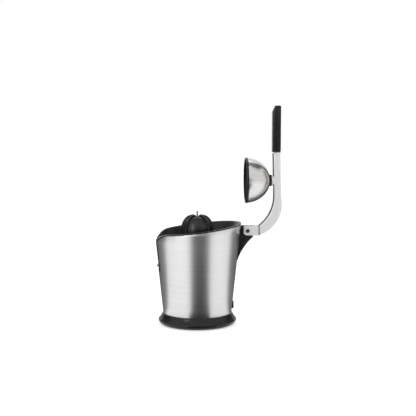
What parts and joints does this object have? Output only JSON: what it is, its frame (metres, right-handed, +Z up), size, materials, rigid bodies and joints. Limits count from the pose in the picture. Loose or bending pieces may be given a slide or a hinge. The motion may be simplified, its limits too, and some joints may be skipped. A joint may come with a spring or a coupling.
{
  "type": "electric citrus juicer",
  "caption": "Electric lever citrus juicer: tapered steel body, hinged press dome, lift-off cones, strainer and clear bowl with a drip stop over a geared motor.",
  "frame": {"origin": "drive axis at table height, centre of the rubber foot's underside", "axes": "+Z up the drive axis, +X towards the lever's hinge, -X towards the spout, +Y to the rear of the picture's view"},
  "size_m": [0.2775, 0.1912, 0.481],
  "materials": {
    "brushed_steel": "brushed round the body",
    "polished_steel": "polished",
    "black_plastic": "satin",
    "grey_paint": "satin silver paint",
    "clear_plastic": "clear, gloss",
    "grey_plastic": "satin",
    "soft_black": "matt",
    "tan_plastic": "satin",
    "screw_steel": "plain",
    "white_plastic": "satin",
    "bronze": "plain"
  },
  "bodies": {
    "base": {"foot_rubber": "soft_black", "bottom_cover": "black_plastic", "cover_screws": "screw_steel", "base_ring": "black_plastic", "steel_sleeve": "brushed_steel", "spout_frame": "black_plastic", "top_well": "black_plastic", "hinge_bracket": "black_plastic", "bracket_screws": "screw_steel", "cord_gland": "black_plastic", "gearbox_housing": "white_plastic", "gear_plate": "white_plastic", "gearbox_screws": "screw_steel", "compound_axle": "screw_steel", "motor_can": "screw_steel", "motor_end_cap": "white_plastic", "motor_stator": "screw_steel", "shaft_bush": "bronze", "shaft_seal": "soft_black", "return_spring": "screw_steel", "microswitch": "white_plastic", "switch_bracket": "screw_steel"},
    "plunger": {"thrust_plunger": "white_plastic"},
    "button": {"switch_button": "white_plastic"},
    "shaft": {"drive_shaft": "screw_steel", "shaft_clip": "polished_steel", "drive_post": "black_plastic"},
    "output": {"output_gear": "white_plastic"},
    "compound": {"compound_gear": "white_plastic"},
    "rotor": {"motor_rotor": "screw_steel", "motor_pinion": "bronze"},
    "bowl": {"juice_bowl": "clear_plastic", "drip_stop_pin": "polished_steel"},
    "drip_tongue": {"drip_stop_lever": "grey_plastic", "drip_stop_pad": "soft_black", "drip_stop_bumper": "soft_black", "drip_stop_rivet": "tan_plastic"},
    "strainer": {"strainer_dish": "polished_steel"},
    "cone_small": {"small_cone": "black_plastic"},
    "cone_large": {"large_cone": "black_plastic"},
    "lever": {"hinge_fork": "grey_paint", "pivot_pin": "polished_steel", "pivot_screws": "polished_steel", "fork_bolt": "polished_steel", "arm_spacer": "black_plastic", "arm_beam": "grey_paint", "arm_strip": "black_plastic", "grip_band": "polished_steel", "grip_outer": "black_plastic", "grip_inner": "black_plastic", "grip_screws": "screw_steel", "dome_shell": "brushed_steel", "dome_liner": "black_plastic", "dome_collar": "black_plastic", "dome_neck": "grey_paint", "dome_screw": "polished_steel"}
  },
  "joints": [
    {"name": "lever_press", "type": "hinge", "parent": "base", "child": "lever", "pos_m": [0.1105, 0, 0.207], "axis": [0, 1, 0], "range_deg": [-90, 0]},
    {"name": "shaft_press", "type": "slide", "parent": "base", "child": "plunger", "axis": [0, 0, 1], "range_m": [-0.0025, 0], "stiffness_N_per_m": 2000, "springref_m": 0.006, "deforming": ["return_spring"]},
    {"name": "switch_press", "type": "slide", "parent": "base", "child": "button", "axis": [0, 0, 1], "range_m": [-0.0025, 0]},
    {"name": "shaft_spin", "type": "hinge", "parent": "plunger", "child": "shaft", "pos_m": [0, 0, 0.15], "axis": [0, 0, 1], "continuous": true},
    {"name": "output_spin", "type": "hinge", "parent": "base", "child": "output", "pos_m": [0, 0, 0.1], "axis": [0, 0, 1], "continuous": true},
    {"name": "compound_spin", "type": "hinge", "parent": "base", "child": "compound", "pos_m": [0.03338, 0.01349, 0.1], "axis": [0, 0, 1], "continuous": true},
    {"name": "rotor_spin", "type": "hinge", "parent": "base", "child": "rotor", "pos_m": [0.02133, 0.03765, 0.1], "axis": [0, 0, 1], "continuous": true},
    {"name": "small_cone_lift", "type": "slide", "parent": "shaft", "child": "cone_small", "axis": [0, 0, 1], "range_m": [0, 0.224]},
    {"name": "bowl_lift", "type": "slide", "parent": "base", "child": "bowl", "axis": [0, 0, 1], "range_m": [0, 0.143]},
    {"name": "strainer_lift", "type": "slide", "parent": "bowl", "child": "strainer", "axis": [0, 0, 1], "range_m": [0, 0.05]},
    {"name": "large_cone_lift", "type": "slide", "parent": "cone_small", "child": "cone_large", "axis": [0, 0, 1], "range_m": [0, 0.064]},
    {"name": "drip_stop", "type": "hinge", "parent": "bowl", "child": "drip_tongue", "pos_m": [-0.059, 0, 0.1313], "axis": [0, -1, 0], "range_deg": [-18, 0]}
  ],
  "couplings": [
    {"joint": "switch_press", "follows": "shaft_press", "ratio": 1},
    {"joint": "output_spin", "follows": "shaft_spin", "ratio": 1},
    {"joint": "compound_spin", "follows": "shaft_spin", "ratio": -5},
    {"joint": "rotor_spin", "follows": "shaft_spin", "ratio": 17.5},
    {"joint": "bowl_lift", "follows": "small_cone_lift", "ratio": 0.63839},
    {"joint": "strainer_lift", "follows": "small_cone_lift", "ratio": 0.22321}
  ]
}
